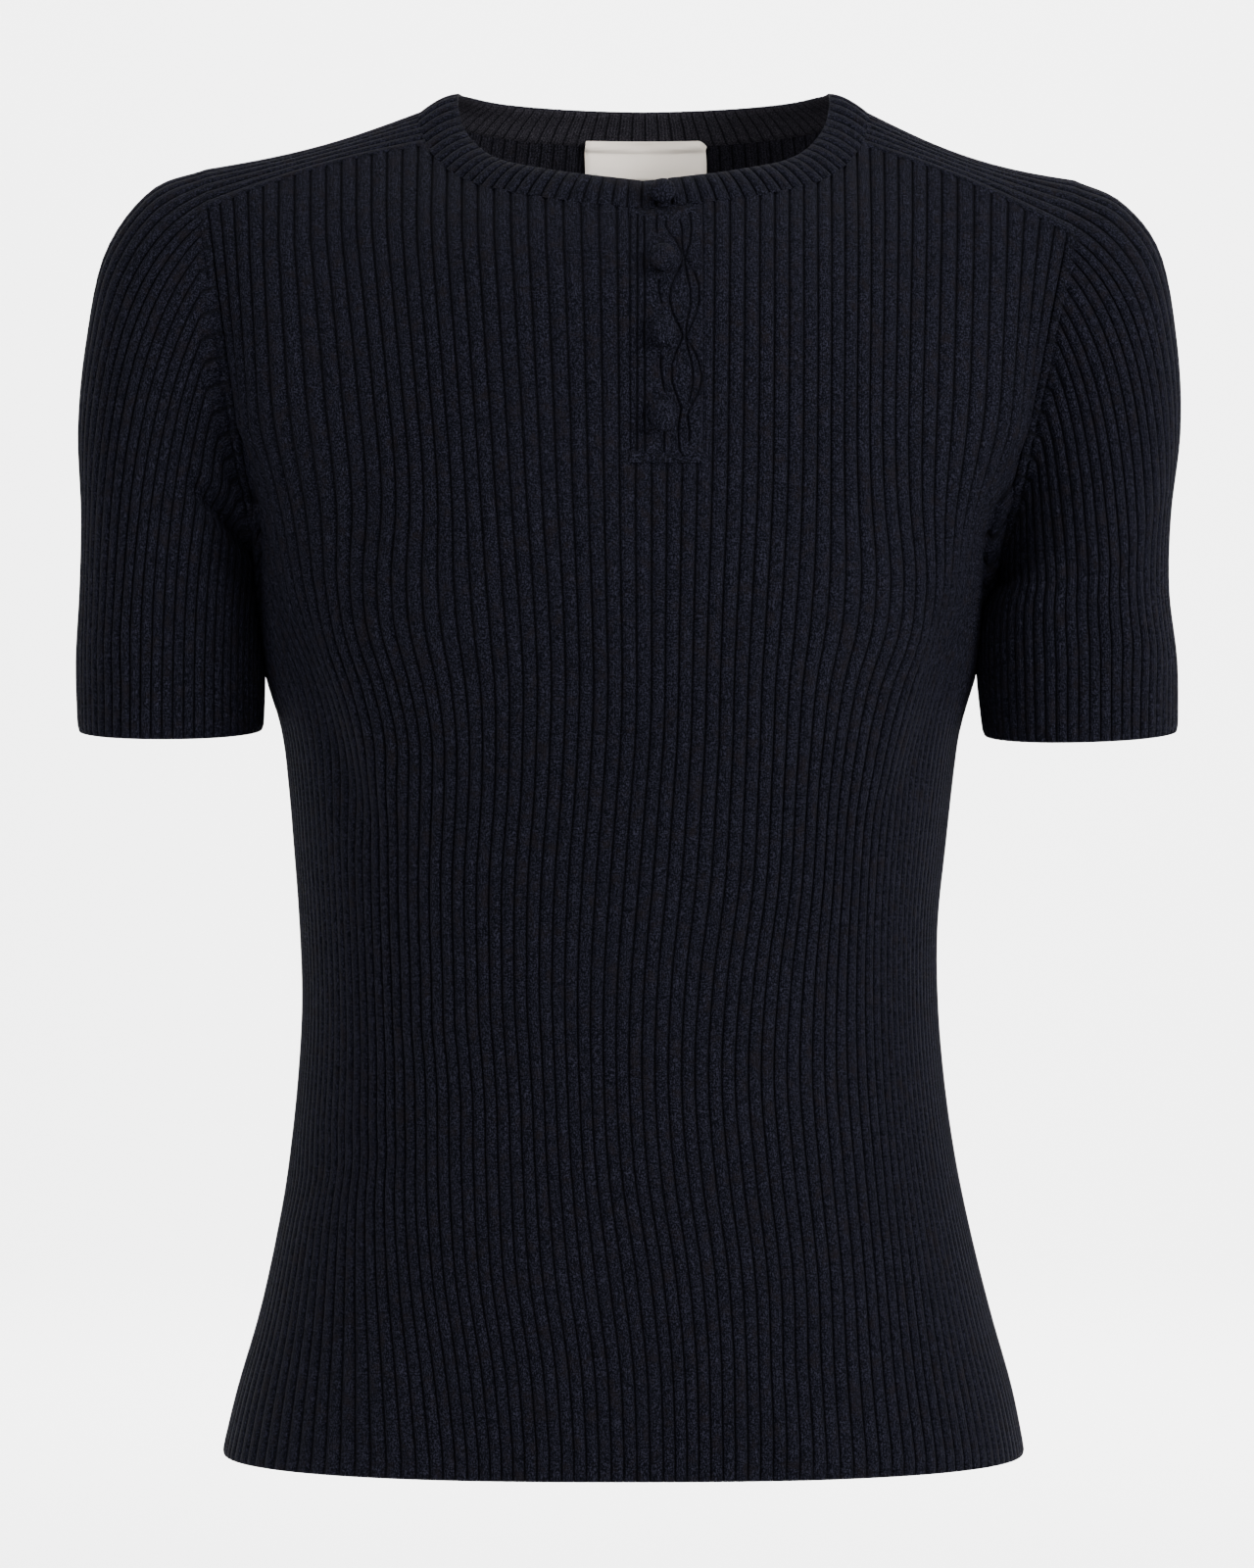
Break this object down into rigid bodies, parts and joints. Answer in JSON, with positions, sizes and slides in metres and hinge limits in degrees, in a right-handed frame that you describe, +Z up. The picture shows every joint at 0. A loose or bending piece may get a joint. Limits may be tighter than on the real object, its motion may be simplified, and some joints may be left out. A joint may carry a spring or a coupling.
{
  "type": "rib knit sweater",
  "caption": "Short-sleeved rib knit sweater with saddle shoulders, a crew neckband and a short cabled placket with covered buttons, filled out as on a wearer.",
  "frame": {"origin": "on the shoulder line at the middle of the neck, where the wearer's shoulders hold the garment", "axes": "+Z up towards the neck, -Y out of the front, +X to the viewer's right when facing the front"},
  "size_m": [0.4773, 0.2328, 0.5903],
  "materials": {
    "front_knit": "matte",
    "back_knit": "matte",
    "sleeve_left_knit": "matte",
    "sleeve_right_knit": "matte",
    "neckband_knit": "matte",
    "placket_knit": "matte",
    "button_1_knit": "matte",
    "button_2_knit": "matte",
    "button_3_knit": "matte",
    "button_4_knit": "matte",
    "label_cloth": "satin"
  },
  "bodies": {
    "root": {"front": "front_knit", "back": "back_knit", "sleeve_left": "sleeve_left_knit", "sleeve_right": "sleeve_right_knit", "neckband": "neckband_knit", "placket": "placket_knit", "button_1": "button_1_knit", "button_2": "button_2_knit", "button_3": "button_3_knit", "button_4": "button_4_knit", "label": "label_cloth"}
  },
  "joints": []
}
